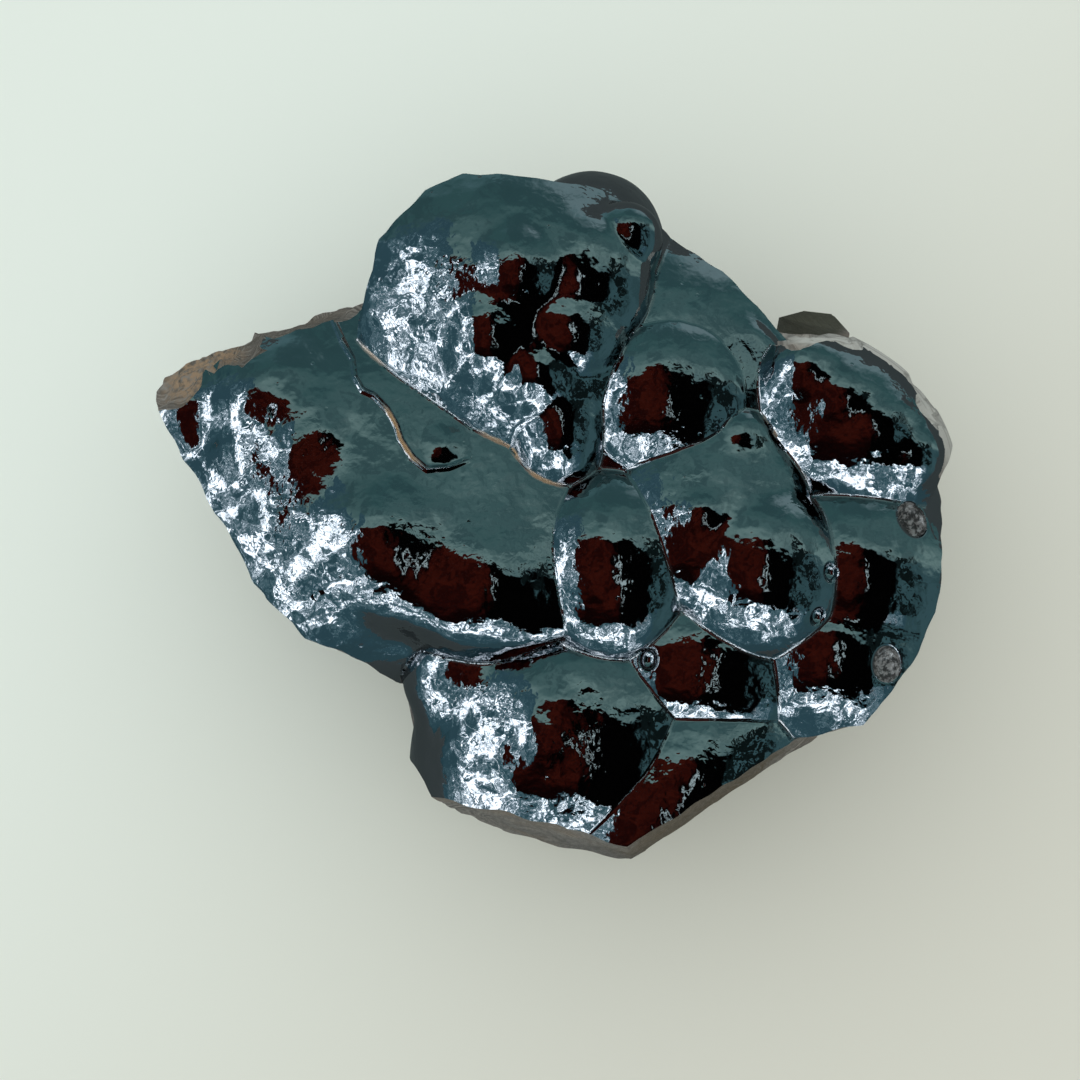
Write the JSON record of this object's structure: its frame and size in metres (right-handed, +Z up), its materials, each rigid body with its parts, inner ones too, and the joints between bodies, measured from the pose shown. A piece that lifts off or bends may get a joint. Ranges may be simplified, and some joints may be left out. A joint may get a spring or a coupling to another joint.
{
  "type": "botryoidal hematite",
  "caption": "Loose mineral specimen: a crown of mirror-bright rounded steel-grey lobes over a rough broken underside with one flat resting face.",
  "frame": {"origin": "middle of the plan, on the plane of the broken face that the stone rests on", "axes": "+X along the longest extent, from the pointed slab end to the end with two side lobes; +Y toward the tall block of lobes; +Z up, toward the lobed crown"},
  "size_m": [0.0926, 0.0804, 0.038],
  "materials": {
    "hematite": "naturally mirror-bright steel-grey lobes, with rusty brown in the creases and dull grey-brown fibrous broken faces"
  },
  "bodies": {
    "root": {"hematite": "hematite"}
  },
  "joints": []
}
